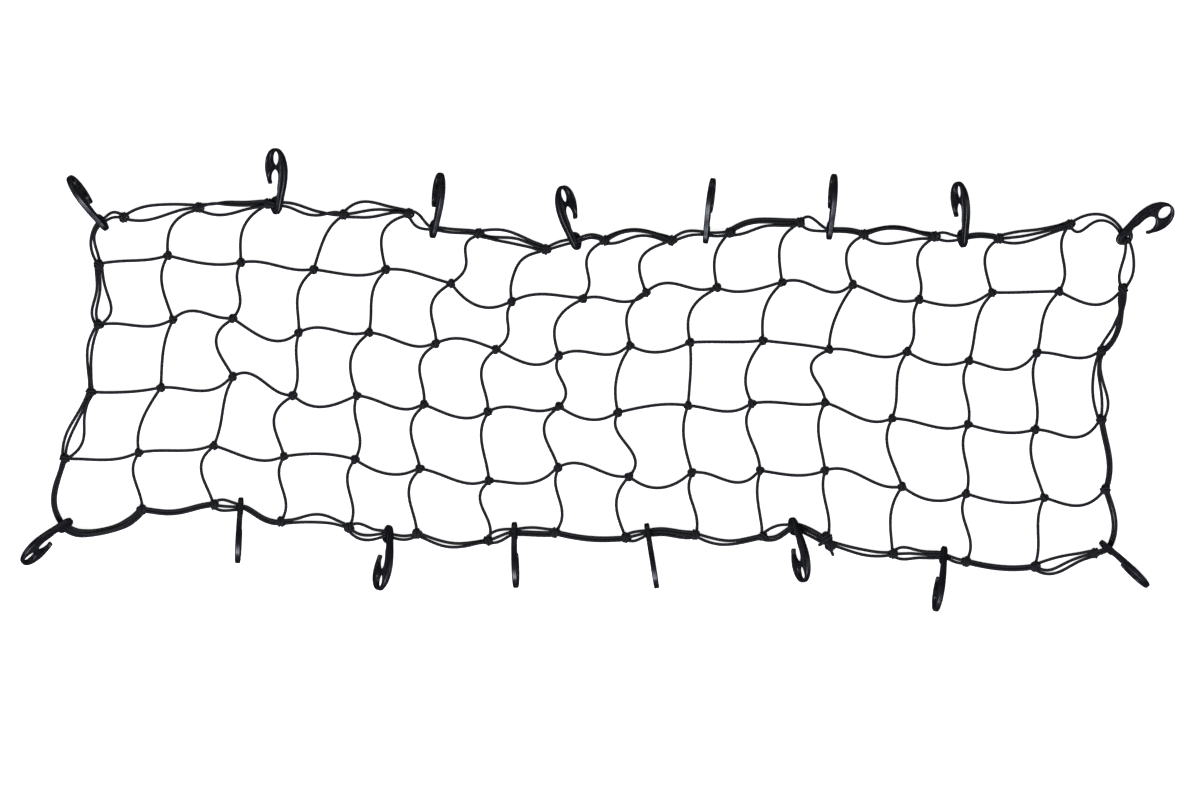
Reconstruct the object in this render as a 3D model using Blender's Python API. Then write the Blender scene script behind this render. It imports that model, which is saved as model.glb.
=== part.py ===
"""Cargo net of knotted elastic cord with sixteen moulded claw hooks, laid out loose on a flat surface.

Metres, +Z up. X runs along the net, Y across it, and the surface is Z = 0.
The net's lay is given on a sheet ruled in squares of LAYOUT_SQUARE: x counts squares from
the sheet's left edge and y counts them down from its top edge. A strand runs from knot to
knot, and its two bows are how far it strays from the straight line at one third and at two
thirds of its way, in squares: downwards for a strand that runs across, and to the right for
one that runs down the sheet.
"""

import math

import bmesh
import bpy
from mathutils import Matrix, Vector

# Cord and net
CORD_D = 0.003
MESH_PITCH = 0.075
SQUARES_PER_PITCH = 68.18
LAYOUT_SQUARE = MESH_PITCH / SQUARES_PER_PITCH
SHEET_MIDDLE = (598.38, 379.68)  # falls on the middle of the whole net, hooks and all

# A strand's section is square, flat side down, and as wide as the round cord
SIDE_OF_STRAND = 0.95 * CORD_D
STRAND_SECTION = {1: 1.0, 2: 1.35, 3: 1.6}  # width of one, two or three cords laid together
FLAT_SIDE_DOWN = math.radians(45)
BOW_PER_STEP = 22.0  # squares of bowing and swaying that take one more straight length
FEWEST_STEPS = 3
MOST_STEPS = 5
SHORT_STRAND = 0.03

# Knots
KNOT_R = 0.0046
EDGE_KNOT_R = 0.0054
CLOSING_KNOT_R = 0.0068
SAME_FACE = math.radians(4)  # faces of the net that turn less than this are one
KNOT_BODY = 0.97  # half a lump's side, as a share of the knot's radius
KNOT_CROWN = 0.84  # how much narrower a knot is at its top
KNOT_STRETCH = 0.08
KNOT_TURN = math.radians(6)
KNOT_WANDER = 2.4
STRAND_START_IN_KNOT = 0.0012
CORD_HEIGHT_IN_KNOT = 0.95  # where the cords meet in a knot, as a share of its radius
KNOT_LEG = 0.24  # share of a strand in which it comes down from its knot

# Hook: along = from the root to the far end, across = from the back to the claw, millimetres
HOOK_OUTLINE = (
    # along, across
    (0.2, 12.6),  # root end
    (4.0, 7.4),
    (12.0, 4.9),  # back
    (22.0, 2.7),
    (32.0, 0.2),
    (42.0, -1.2),
    (52.0, -1.1),
    (61.5, 1.4),
    (69.5, 6.6),
    (73.9, 14.5),  # far end
    (72.0, 22.0),
    (66.0, 27.3),
    (57.0, 29.9),  # underside of the claw
    (48.0, 29.4),
    (40.0, 26.7),
    (33.4, 22.7),  # claw's point
    (39.5, 23.9),
    (45.0, 22.8),
    (49.2, 19.3),
    (50.8, 14.6),  # end of the throat
    (48.2, 10.2),
    (43.0, 8.8),
    (32.0, 9.7),  # inner side of the shank
    (21.5, 11.0),
    (19.8, 15.2),  # boss round the eye
    (16.6, 19.0),
    (11.4, 20.6),
    (4.8, 18.8),
)
HOOK_FAR_END = (73.9, 14.5)
HEAD_HOLE = {"along": 63.0, "across": 15.5, "half_long": 8.4, "half_wide": 6.3, "turn": -6, "points": 10}
EYE = {"along": 11.2, "across": 14.6, "half_long": 5.4, "half_wide": 3.6, "turn": 0, "points": 8}
HOOK_THICKNESS = 0.0058
HOOK_END_THINNING = 0.26
ROOT_PART = 0.025  # the root rests within this of its end, the claw beyond it
PITCH_RANGE = (-0.3, 0.6)
PITCH_HALVINGS = 40

# Where the cords run through a hook's eye
BUNDLE_SIDE = 0.0048
EYE_REACH = 0.0065
EYE_LEG = 0.030
EYE_LAP = 0.0005
OVER_THE_SIDE = 0.009  # how far cords run level before they come down off a hook that lies flat

MM = 0.001
MERGE_DISTANCE = 0.00001
UP = Vector((0, 0, 1))

# name, root x, root y, far end x, far end y, roll from lying flat, side of the claw (1 left, -1 right)
HOOKS = (
    ("hook_01", 104.1, 228.4, 71.9, 177.4, 76, -1),
    ("hook_02", 277.1, 214.4, 277.9, 149.1, 48, 1),
    ("hook_03", 432.7, 237.5, 442.0, 173.5, 76, 1),
    ("hook_04", 575.0, 248.5, 561.3, 188.7, 54, -1),
    ("hook_05", 704.7, 243.4, 711.9, 178.4, 83, -1),
    ("hook_06", 828.9, 239.4, 834.1, 174.4, 82, 1),
    ("hook_07", 963.0, 246.7, 958.5, 182.7, 62, 1),
    ("hook_08", 1116.0, 242.0, 1173.0, 207.2, 20, -1),
    ("hook_09", 73.1, 519.1, 22.0, 562.8, 60, 1),
    ("hook_10", 241.3, 498.0, 238.3, 562.6, 90, 1),
    ("hook_11", 388.9, 525.0, 380.3, 589.7, 57, -1),
    ("hook_12", 514.2, 521.2, 515.7, 588.4, 83, 1),
    ("hook_13", 646.4, 523.8, 656.4, 588.1, 90, 1),
    ("hook_14", 793.0, 517.7, 803.2, 581.1, 57, -1),
    ("hook_15", 944.8, 546.2, 936.4, 609.5, 76, -1),
    ("hook_16", 1097.9, 539.1, 1149.4, 587.2, 80, -1),
)

# Knots of the long edges: x, y, bows of the strand below
TOP_EDGE = (
    (124, 217, None),
    (199, 207, (-14.4, -10.4)),
    (264.5, 203, (-13.0, -9.3)),
    (344, 214, (-5.9, -3.9)),
    (409, 213, (-16.6, -11.9)),
    (479, 233, (-3.9, 5.6)),
    (546, 249, (-18.4, -13.1)),
    (605, 240, (-11.4, -0.4)),
    (672, 240, (-20.9, -14.6)),
    (730, 232, (-9.0, -7.0)),
    (800, 222, (-12.5, -8.7)),
    (864, 234, (-13.1, -10.0)),
    (935, 236, (-11.4, -3.4)),
    (999, 238, (-11.4, -8.1)),
    (1070, 224, (-6.4, 1.4)),
)
BOTTOM_EDGE = (
    (142, 509),
    (214, 504),
    (281, 521),
    (349, 527),
    (417, 533),
    (488, 540),
    (555, 532),
    (626, 537),
    (695, 534),
    (763, 536),
    (826, 542),
    (893, 553),
    (966, 561),
    (1035, 566),
)
# Knots of the four rows: x, y, bows of the strand to the right, bows of the strand below
ROWS = (
    (
        (99, 264, (-0.5, 1.7), None),
        (168, 255, (3.7, 4.6), (-8.7, -6.0)),
        (241, 262, (-2.1, 1.7), (-1.6, 5.3)),
        (314, 269, (3.9, 6.1), (-10.7, -6.4)),
        (386, 269, (-3.6, -1.9), (-7.7, -3.6)),
        (451, 283, (13.9, 12.7), (-15.0, -8.0)),
        (512, 301, (-6.4, -4.0), (0.0, 7.9)),
        (583, 298, (1.4, 8.1), (-16.9, -13.1)),
        (646, 292, (-8.3, -0.3), (-13.1, -8.6)),
        (717, 287, (6.3, 4.4), (-14.9, -11.6)),
        (782, 282, (-0.7, 8.7), (-8.6, -7.1)),
        (853, 284, (3.7, 6.6), (-4.6, -5.3)),
        (919, 299, (8.1, 9.4), (-2.0, 3.4)),
        (992, 292, (0.4, 0.0), (-6.1, -2.6)),
        (1059, 291, (11.4, 14.1), (-7.1, -3.6)),
        (1123, 288, None, None),
    ),
    (
        (99, 324, (1.3, 5.6), None),
        (173, 319, (-9.0, -3.0), (-4.3, -3.1)),
        (233, 318, (10.4, 14.0), (-17.7, -12.0)),
        (299, 332, (-5.1, 0.6), (-1.0, 3.0)),
        (369, 332, (2.1, 6.6), (-13.1, -10.3)),
        (436, 343, (-7.6, -5.6), (-12.9, -5.9)),
        (496, 349, (8.6, 11.9), (-12.7, -6.1)),
        (559, 355, (-1.0, 6.3), (-2.0, 7.6)),
        (630, 345, (8.0, 7.0), (-7.0, -7.0)),
        (690, 342, (0.0, 0.9), (1.5, 1.0)),
        (763, 340, (-0.5, -1.0), (-10.0, -10.7)),
        (829, 349, (1.1, 6.4), (-18.3, -7.6)),
        (907, 351, (7.7, 7.7), (-4.7, -0.4)),
        (969, 360, (9.7, 14.4), (-5.7, -0.3)),
        (1037, 352, (2.9, 6.4), (-3.6, 1.3)),
        (1102, 350, None, None),
    ),
    (
        (91, 392, (1.6, 2.1), None),
        (161, 387, (5.4, 10.7), (-6.4, -7.7)),
        (233, 376, (-8.7, 0.0), (-2.1, 0.7)),
        (293, 395, (11.6, 9.0), (-16.4, -10.1)),
        (357, 395, (3.1, 8.0), (-1.3, 4.7)),
        (424, 404, (6.7, 9.6), (-12.3, -7.3)),
        (488, 411, (-3.1, 3.0), (-7.6, -3.9)),
        (559, 406, (8.9, 9.6), (-15.6, -9.1)),
        (618, 412, (-2.9, -3.6), (-3.6, 9.0)),
        (688, 405, (4.3, 7.7), (-6.3, -5.0)),
        (752, 403, (-0.9, 1.9), (-8.6, -2.7)),
        (825, 402, (4.3, 8.4), (-7.1, -4.3)),
        (892, 418, (1.9, 6.0), (-9.1, -5.7)),
        (968, 424, (4.3, 5.3), (-4.7, 1.0)),
        (1035, 429, (7.6, 13.6), (-7.7, -5.0)),
        (1101, 419, None, None),
    ),
    (
        (65, 458, (3.0, 5.0), None),
        (139, 452, (0.3, 2.7), (-7.6, -2.4)),
        (214, 445, (5.0, 8.0), (-13.7, -10.0)),
        (284, 456, (-3.7, -4.0), (-4.0, 3.3)),
        (355, 459, (8.7, 9.4), (-6.1, 1.0)),
        (420, 468, (3.0, 7.0), (-11.4, -7.1)),
        (489, 480, (6.9, 10.6), (-9.6, -1.3)),
        (558, 467, (-7.1, -0.4), (-1.4, 6.0)),
        (629, 476, (12.6, 12.0), (-11.6, -9.1)),
        (692, 472, (4.1, 12.1), (-4.1, 2.1)),
        (760, 470, (3.6, 5.1), (-4.6, -3.1)),
        (825, 470, (-4.9, 2.4), (-2.3, 2.6)),
        (902, 486, (9.9, 9.7), (-7.7, -5.6)),
        (966, 493, (6.1, 6.7), (-3.6, 5.0)),
        (1044, 497, (9.3, 11.6), (-3.3, 0.4)),
        (1105, 489, None, None),
    ),
)
EXTRA_KNOT = (1094, 553)  # tied beside the last hook
CLOSING_KNOT = 10  # place in the bottom edge of the knot that closes the cord
CORD_ENDS = ((833.5, 556), (819, 544.5))

# The edges from hook to hook. Each strand to the next stop: cords laid together, then its two bows
EDGES = {
    "top": (
        ("hook_01", ((2, -4.0, -4.5),)),
        ("T1", ((1, -7.7, -6.1), (1, 6.3, 2.1))),
        ("T2", ((1, -4.0, -3.0), (1, 9.3, 3.3))),
        ("T3", ((2, 0.0, 0.0),)),
        ("hook_02", ((1, -3.0, 2.0), (1, 3.5, 4.5))),
        ("T4", ((1, -13.0, -7.4), (2, 0.0, -3.0))),
        ("T5", ((1, -6.4, -3.0), (1, 7.4, 5.0))),
        ("hook_03", ((2, 0.5, -0.5),)),
        ("T6", ((1, -9.6, -8.5), (2, -0.5, -1.8))),
        ("T7", ((2, -1.4, -1.1),)),
        ("hook_04", ((2, -3.0, -3.0),)),
        ("T8", ((2, -10.6, -8.5), (1, -3.3, -4.5))),
        ("T9", ((2, -3.2, -3.1),)),
        ("hook_05", ((2, 1.0, 1.0),)),
        ("T10", ((3, -5.0, -3.3),)),
        ("T11", ((1, -8.9, -4.6), (1, 5.7, 1.6))),
        ("hook_06", ((2, -2.0, -2.0),)),
        ("T12", ((2, -8.4, -6.2), (1, 8.4, 3.3))),
        ("T13", ((1, -4.9, -1.9), (1, 4.3, 3.1))),
        ("hook_07", ((2, -1.5, -1.5),)),
        ("T14", ((2, -0.5, 0.0), (1, 8.0, 7.0))),
        ("T15", ((1, -13.4, -14.7), (1, 0.0, -10.5))),
        ("hook_08", ()),
    ),
    "right": (
        ("hook_08", ((1, -1.9, -5.4), (1, 6.0, 9.0))),
        ("R1", ((1, 2.8, 0.2), (2, 5.5, 7.3))),
        ("R2", ((1, -9.3, -8.4), (2, -2.6, 2.8))),
        ("R3", ((2, 3.0, 5.0),)),
        ("R4", ((2, 5.7, 6.5),)),
        ("hook_16", ()),
    ),
    "bottom": (
        ("hook_09", ((3, 12.6, 10.7),)),
        ("B1", ((2, 3.5, 1.5),)),
        ("B2", ((1, -6.9, -5.4), (2, 3.0, 1.6))),
        ("hook_10", ((3, -0.7, 3.0),)),
        ("B3", ((2, -4.5, -6.5),)),
        ("B4", ((1, -7.0, -3.0), (2, 7.0, 2.8))),
        ("hook_11", ((2, 2.0, 2.0),)),
        ("B5", ((2, 6.6, 6.2),)),
        ("B6", ((1, -8.0, -6.0), (2, 0.9, 0.6))),
        ("hook_12", ((3, -1.0, 0.0),)),
        ("B7", ((2, 2.7, 3.0),)),
        ("B8", ((1, -5.0, -3.0), (2, 3.0, 1.8))),
        ("hook_13", ((3, -1.8, 0.4),)),
        ("B9", ((2, 6.0, 5.8),)),
        ("B10", ((1, -7.6, -6.4), (2, 5.7, 2.2))),
        ("hook_14", ((3, -3.6, -3.4),)),
        ("B11", ((2, 1.6, 2.5),)),
        ("B12", ((1, -5.4, -3.0), (2, 2.0, 0.8))),
        ("hook_15", ((2, 0.3, 0.3),)),
        ("B13", ((2, 3.0, 3.5),)),
        ("B14", ((1, -4.6, -3.6), (2, 8.5, 3.4))),
        ("extra", ((2, 0.0, 0.0),)),
        ("hook_16", ()),
    ),
    "left": (
        ("hook_01", ((2, -8.0, -5.0),)),
        ("L1", ((2, -0.5, -3.0), (1, 3.0, 10.5))),
        ("L2", ((2, -6.7, -4.0),)),
        ("L3", ((2, -5.9, -7.5), (1, 1.6, 9.7))),
        ("L4", ((2, -8.0, -11.3),)),
        ("hook_09", ()),
    ),
}


def sheet_to_world(x, y, z=0.0):
    """Turns a place on the ruled sheet into metres."""
    return Vector(
        (
            (x - SHEET_MIDDLE[0]) * LAYOUT_SQUARE,
            (SHEET_MIDDLE[1] - y) * LAYOUT_SQUARE,
            z,
        )
    )


def make_material(name, colour, roughness, coat):
    material = bpy.data.materials.new(name)
    material.use_nodes = True
    shader = material.node_tree.nodes["Principled BSDF"]
    shader.inputs["Base Color"].default_value = (*colour, 1.0)
    shader.inputs["Roughness"].default_value = roughness
    shader.inputs["Coat Weight"].default_value = coat
    return material


def add_object(name, mesh, collection, material=None):
    piece = bpy.data.objects.new(name, mesh)
    collection.objects.link(piece)
    if material is not None:
        mesh.materials.append(material)
    return piece


def curve_to_mesh(curve, name):
    """A closed mesh from a curve's tubes or filled outline, with its caps joined on."""
    carrier = bpy.data.objects.new(name, curve)
    bpy.context.scene.collection.objects.link(carrier)
    bpy.context.view_layer.update()
    evaluated = carrier.evaluated_get(bpy.context.evaluated_depsgraph_get())
    mesh = bpy.data.meshes.new_from_object(evaluated)
    mesh.name = name
    bpy.data.objects.remove(carrier)
    bpy.data.curves.remove(curve)
    shape = bmesh.new()
    shape.from_mesh(mesh)
    bmesh.ops.remove_doubles(shape, verts=shape.verts, dist=MERGE_DISTANCE)
    shape.to_mesh(mesh)
    shape.free()
    return mesh


# ---------------------------------------------------------------- hooks


def add_closed_spline(curve, points, smooth):
    """One closed outline through points in millimetres."""
    if smooth:
        spline = curve.splines.new("BEZIER")
        spline.bezier_points.add(len(points) - 1)
        for knot, (along, across) in zip(spline.bezier_points, points):
            knot.co = (along * MM, across * MM, 0)
            knot.handle_left_type = "AUTO"
            knot.handle_right_type = "AUTO"
    else:
        spline = curve.splines.new("POLY")
        spline.points.add(len(points) - 1)
        for point, (along, across) in zip(spline.points, points):
            point.co = (along * MM, across * MM, 0, 1)
    spline.use_cyclic_u = True


def oval(hole):
    """The outline of an oval hole."""
    turn = math.radians(hole["turn"])
    points = []
    for index in range(hole["points"]):
        angle = math.tau * (index + 0.5) / hole["points"]
        long_part = hole["half_long"] * math.cos(angle)
        wide_part = hole["half_wide"] * math.sin(angle)
        points.append(
            (
                hole["along"] + long_part * math.cos(turn) - wide_part * math.sin(turn),
                hole["across"] + long_part * math.sin(turn) + wide_part * math.cos(turn),
            )
        )
    return points


def make_hook_mesh():
    """The hook lying flat: X along it, Y from its back to its claw, Z through its thickness."""
    curve = bpy.data.curves.new("hook_outline", "CURVE")
    curve.dimensions = "2D"
    curve.fill_mode = "BOTH"
    curve.resolution_u = 2
    curve.extrude = HOOK_THICKNESS / 2
    add_closed_spline(curve, HOOK_OUTLINE, True)
    add_closed_spline(curve, oval(HEAD_HOLE), False)
    add_closed_spline(curve, oval(EYE), False)
    mesh = curve_to_mesh(curve, "hook")
    middle = max(along for along, _ in HOOK_OUTLINE) * MM / 2
    for vertex in mesh.vertices:
        away = abs(vertex.co.x - middle) / middle
        vertex.co.z *= 1 - HOOK_END_THINNING * away**3
    return mesh


def hook_axes(heading, roll, side, pitch):
    """The hook's own axes as a 3 x 3 matrix, its far end raised by pitch."""
    along = Vector((math.cos(heading), math.sin(heading), 0))
    sideways = UP.cross(along) * side
    across = sideways * math.cos(roll) - UP * math.sin(roll)
    raise_far_end = Matrix.Rotation(pitch, 3, along.cross(UP))
    along = raise_far_end @ along
    across = raise_far_end @ across
    return Matrix((along, across, along.cross(across))).transposed()


def lowest(points, axes):
    return min((axes @ point).z for point in points)


def hook_pose(row, mesh):
    """Where a hook lies: the claw touches the surface, and the root rests on it or over its cords."""
    _, root_x, root_y, far_x, far_y, roll_degrees, side = row
    roll = math.radians(roll_degrees)
    root_points = [v.co for v in mesh.vertices if v.co.x < ROOT_PART]
    claw_points = [v.co for v in mesh.vertices if v.co.x >= ROOT_PART]
    eye = Vector((EYE["along"] * MM, EYE["across"] * MM, 0))
    low, high = PITCH_RANGE
    for _ in range(PITCH_HALVINGS):
        pitch = (low + high) / 2
        axes = hook_axes(0.0, roll, side, pitch)
        floor = lowest(claw_points, axes)
        root_gap = lowest(root_points, axes) - floor
        eye_over_root = (axes @ eye).z - floor - root_gap
        cord_room = CORD_D / 2 + EYE_REACH * abs(axes.col[2].z)
        if root_gap > max(0.0, cord_room - eye_over_root):
            low = pitch
        else:
            high = pitch
    root = Vector((*HOOK_OUTLINE[0], 0)) * MM
    far_end = Vector((*HOOK_FAR_END, 0)) * MM
    length = axes @ (far_end - root)
    wanted = math.atan2(root_y - far_y, far_x - root_x)
    turned = Matrix.Rotation(wanted - math.atan2(length.y, length.x), 3, "Z") @ axes
    place = sheet_to_world((root_x + far_x) / 2, (root_y + far_y) / 2) - turned @ ((root + far_end) / 2)
    place.z = -floor
    return Matrix.Translation(place) @ turned.to_4x4()


def make_hooks(collection, material):
    """Sixteen hooks of one shape. Gives each hook's pose by name."""
    poses = {}
    shape = make_hook_mesh()
    for row in HOOKS:
        mesh = shape.copy()
        hook = add_object(row[0], mesh, collection, material)
        poses[row[0]] = hook_pose(row, shape)
        hook.matrix_world = poses[row[0]]
    bpy.data.meshes.remove(shape)
    return poses


# ---------------------------------------------------------------- net


def knot_places():
    """Each knot's place on the sheet and its radius, by name."""
    places = {}
    for number, (x, y, _) in enumerate(TOP_EDGE, 1):
        places[f"T{number}"] = (x, y, EDGE_KNOT_R)
    for row_number, row in enumerate(ROWS, 1):
        for number, (x, y, _, _) in enumerate(row):
            name = f"N{row_number}.{number}"
            radius = KNOT_R
            if number == 0:
                name = f"L{row_number}"
                radius = EDGE_KNOT_R
            if number == len(row) - 1:
                name = f"R{row_number}"
                radius = EDGE_KNOT_R
            places[name] = (x, y, radius)
    for number, (x, y) in enumerate(BOTTOM_EDGE, 1):
        places[f"B{number}"] = (x, y, EDGE_KNOT_R)
    x, y, _ = places[f"B{CLOSING_KNOT + 1}"]
    places[f"B{CLOSING_KNOT + 1}"] = (x, y, CLOSING_KNOT_R)
    places["extra"] = (*EXTRA_KNOT, KNOT_R)
    return places


def knot_name(row_number, number):
    """The name of a knot by its row, 0 being the top edge and 5 the bottom one."""
    if row_number == 0:
        return f"T{number + 1}"
    if row_number > len(ROWS):
        return f"B{number}"
    if number == 0:
        return f"L{row_number}"
    if number == len(ROWS[0]) - 1:
        return f"R{row_number}"
    return f"N{row_number}.{number}"


def bow_at(share, near, far):
    """A smooth bow that is 0 at both ends, near at one third and far at two thirds."""
    rising = 13.5 * share * (share - 2 / 3) * (share - 1)
    falling = -13.5 * share * (share - 1 / 3) * (share - 1)
    return near * rising + far * falling


def ease(share):
    """Falls smoothly from 1 to 0 as share goes from 0 to 1."""
    share = min(max(share, 0.0), 1.0)
    return 1 - share * share * (3 - 2 * share)


class End:
    """One end of a strand: its place, how deep it starts inside a knot, and how it comes down."""

    def __init__(self, place, inset, leg, hold):
        self.place = place
        self.inset = inset
        self.leg = leg
        self.hold = hold


def strand_points(start, finish, cords, near, far, across):
    """The middle line of one strand, from knot or eye to knot or eye."""
    section = SIDE_OF_STRAND * STRAND_SECTION[cords]
    sideways = Vector((0, -LAYOUT_SQUARE, 0)) if across else Vector((LAYOUT_SQUARE, 0, 0))
    run = finish.place - start.place
    length = run.length
    start_leg = start.leg or KNOT_LEG * length
    finish_leg = finish.leg or KNOT_LEG * length

    def at(share):
        point = start.place + run * share + sideways * bow_at(share, near, far)
        lift = (start.place.z - section / 2) * ease((share * length - start.hold) / start_leg)
        drop = (finish.place.z - section / 2) * ease(((1 - share) * length - finish.hold) / finish_leg)
        point.z = section / 2 + max(lift, 0) + max(drop, 0)
        return point

    steps = FEWEST_STEPS + round((abs(near) + abs(far) + 2 * abs(near - far)) / BOW_PER_STEP)
    steps = min(MOST_STEPS, steps) if length > SHORT_STRAND else 2
    first = start.inset / length
    last = 1 - finish.inset / length
    return [at(first + (last - first) * index / steps) for index in range(steps + 1)]


def add_strand(curve, points, section):
    spline = curve.splines.new("POLY")
    spline.points.add(len(points) - 1)
    for control, point in zip(spline.points, points):
        control.co = (*point, 1)
        control.radius = section / SIDE_OF_STRAND
        control.tilt = FLAT_SIDE_DOWN


def knot_end(place):
    x, y, radius = place
    centre = sheet_to_world(x, y, radius * CORD_HEIGHT_IN_KNOT)
    return End(centre, STRAND_START_IN_KNOT, None, 0.0)


def eye_end(pose, towards):
    """The end of a strand where it comes out of a hook's eye, on the side it runs towards."""
    eye = pose @ Vector((EYE["along"] * MM, EYE["across"] * MM, 0))
    through = pose.to_3x3().col[2].normalized()
    if through.dot(towards - eye) < 0:
        through = -through
    hold = OVER_THE_SIDE * max(0.0, through.z)
    return End(eye + through * (EYE_REACH - EYE_LAP), 0.0, EYE_LEG, hold)


def edge_ends(names, index, places, poses):
    """Both ends of the strands between two stops of an edge."""
    ends = []
    for here, there in ((names[index], names[index + 1]), (names[index + 1], names[index])):
        if here in poses:
            towards = poses[there].translation if there in poses else sheet_to_world(*places[there][:2])
            ends.append(eye_end(poses[here], towards))
        else:
            ends.append(knot_end(places[here]))
    return ends


def lay_edges(curve, places, poses):
    for edge, stops in EDGES.items():
        names = [name for name, _ in stops]
        for index, (_, strands) in enumerate(stops[:-1]):
            start, finish = edge_ends(names, index, places, poses)
            for cords, near, far in strands:
                points = strand_points(start, finish, cords, near, far, edge in ("top", "bottom"))
                add_strand(curve, points, SIDE_OF_STRAND * STRAND_SECTION[cords])


def lay_meshes(curve, places):
    """The single cords that make the meshes: rows across and columns down."""
    top = [(x, y, None, below) for x, y, below in TOP_EDGE]
    grid = [top, *ROWS]
    for row_number, row in enumerate(grid):
        for number, (_, _, right, below) in enumerate(row):
            here = knot_end(places[knot_name(row_number, number)])
            if right is not None:
                there = knot_end(places[knot_name(row_number, number + 1)])
                add_strand(curve, strand_points(here, there, 1, *right, True), SIDE_OF_STRAND)
            if below is not None:
                there = knot_end(places[knot_name(row_number + 1, number)])
                add_strand(curve, strand_points(here, there, 1, *below, False), SIDE_OF_STRAND)


def lay_bundles(curve, poses):
    """The cords drawn together where they run through each hook's eye."""
    for pose in poses.values():
        eye = pose @ Vector((EYE["along"] * MM, EYE["across"] * MM, 0))
        through = pose.to_3x3().col[2].normalized()
        points = [eye + through * (EYE_REACH * share) for share in (-1, 1)]
        add_strand(curve, points, BUNDLE_SIDE)


def lay_cord_ends(curve, places):
    """The two cut ends that stand out of the closing knot."""
    x, y, radius = places[f"B{CLOSING_KNOT + 1}"]
    knot = sheet_to_world(x, y, radius * CORD_HEIGHT_IN_KNOT)
    for end_x, end_y in CORD_ENDS:
        tip = sheet_to_world(end_x, end_y, SIDE_OF_STRAND / 2)
        start = knot + (tip - knot).normalized() * STRAND_START_IN_KNOT
        add_strand(curve, [start, tip], SIDE_OF_STRAND)


def make_knots(places, collection):
    """Every knot as a small lump with eight corners, in one guide mesh."""
    shape = bmesh.new()
    for index, (x, y, radius) in enumerate(places.values()):
        turn = KNOT_TURN * math.sin(index * KNOT_WANDER)
        turned = Matrix.Rotation(turn, 4, "Z")
        corners = bmesh.ops.create_cube(shape, size=2 * radius * KNOT_BODY, matrix=turned)["verts"]
        stretch = 1 + KNOT_STRETCH * math.cos(index * KNOT_WANDER)
        for corner in corners:
            if corner.co.z > 0:
                corner.co.xy *= KNOT_CROWN
            corner.co.x *= stretch
            corner.co.y /= stretch
        floor = min(corner.co.z for corner in corners)
        bmesh.ops.translate(shape, verts=corners, vec=sheet_to_world(x, y, -floor))
    mesh = bpy.data.meshes.new("knots")
    shape.to_mesh(mesh)
    shape.free()
    knots = add_object("knots", mesh, collection)
    knots.hide_render = True
    knots.display_type = "WIRE"
    return knots


def make_net(collection, guides, material, poses):
    places = knot_places()
    curve = bpy.data.curves.new("cords", "CURVE")
    curve.dimensions = "3D"
    curve.bevel_depth = SIDE_OF_STRAND / math.sqrt(2)
    curve.bevel_resolution = 0
    curve.use_fill_caps = True
    curve.twist_mode = "Z_UP"
    lay_meshes(curve, places)
    lay_edges(curve, places, poses)
    lay_bundles(curve, poses)
    lay_cord_ends(curve, places)
    net = add_object("net", curve_to_mesh(curve, "net"), collection, material)
    union = net.modifiers.new("knots", "BOOLEAN")
    union.operation = "UNION"
    union.solver = "EXACT"
    union.use_self = True
    union.object = make_knots(places, guides)
    flats = net.modifiers.new("flats", "DECIMATE")
    flats.decimate_type = "DISSOLVE"
    flats.angle_limit = SAME_FACE
    return net


def main():
    for leftover in list(bpy.data.objects):
        bpy.data.objects.remove(leftover)
    parts = bpy.data.collections.new("cargo_net")
    guides = bpy.data.collections.new("guides")
    bpy.context.scene.collection.children.link(parts)
    bpy.context.scene.collection.children.link(guides)
    cord = make_material("cord", (0.012, 0.012, 0.013), 0.75, 0.0)
    plastic = make_material("hook_plastic", (0.016, 0.017, 0.021), 0.38, 0.2)
    poses = make_hooks(parts, plastic)
    make_net(parts, guides, cord, poses)


main()
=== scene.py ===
import math
import random

import bmesh
import bpy
import numpy as np
from mathutils import Matrix, Vector
from mathutils.bvhtree import BVHTree
from mathutils.kdtree import KDTree


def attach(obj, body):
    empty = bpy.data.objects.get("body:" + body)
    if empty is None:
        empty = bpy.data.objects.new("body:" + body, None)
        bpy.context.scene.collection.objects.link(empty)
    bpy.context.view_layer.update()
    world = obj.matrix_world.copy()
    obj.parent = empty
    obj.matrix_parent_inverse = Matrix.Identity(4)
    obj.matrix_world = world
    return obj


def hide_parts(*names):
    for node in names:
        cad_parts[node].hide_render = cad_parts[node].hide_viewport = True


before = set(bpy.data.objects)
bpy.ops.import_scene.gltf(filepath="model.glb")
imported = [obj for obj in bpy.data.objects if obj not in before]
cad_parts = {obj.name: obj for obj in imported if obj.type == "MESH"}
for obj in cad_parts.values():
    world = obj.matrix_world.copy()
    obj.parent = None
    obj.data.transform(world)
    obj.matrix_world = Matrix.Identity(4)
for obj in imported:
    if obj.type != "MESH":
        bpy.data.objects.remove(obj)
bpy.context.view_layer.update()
mm = 0.001

# The lay is read on a sheet ruled in squares, x from the left and y downwards.
sheet = {"square": 0.075 / 68.18, "middle": (598.38, 379.68), "viewCentre": (600.0, 398.45)}


def onSheet(x, y, z=0.0):
    return Vector(((x - sheet["middle"][0]) * sheet["square"], (sheet["middle"][1] - y) * sheet["square"], z))


cameraSetup = {"height": 8.0, "width": 1200 * sheet["square"], "sensor": 36.0}


def makeCamera():
    data = bpy.data.cameras.new("overhead")
    data.sensor_width = cameraSetup["sensor"]
    data.lens = cameraSetup["sensor"] * cameraSetup["height"] / cameraSetup["width"]
    data.clip_end = 30
    camera = bpy.data.objects.new("overhead", data)
    bpy.context.scene.collection.objects.link(camera)
    camera.location = onSheet(*sheet["viewCentre"], cameraSetup["height"])
    bpy.context.scene.camera = camera


makeCamera()


def addPiece(name, mesh):
    piece = bpy.data.objects.new(name, mesh)
    bpy.context.scene.collection.objects.link(piece)
    return piece


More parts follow.
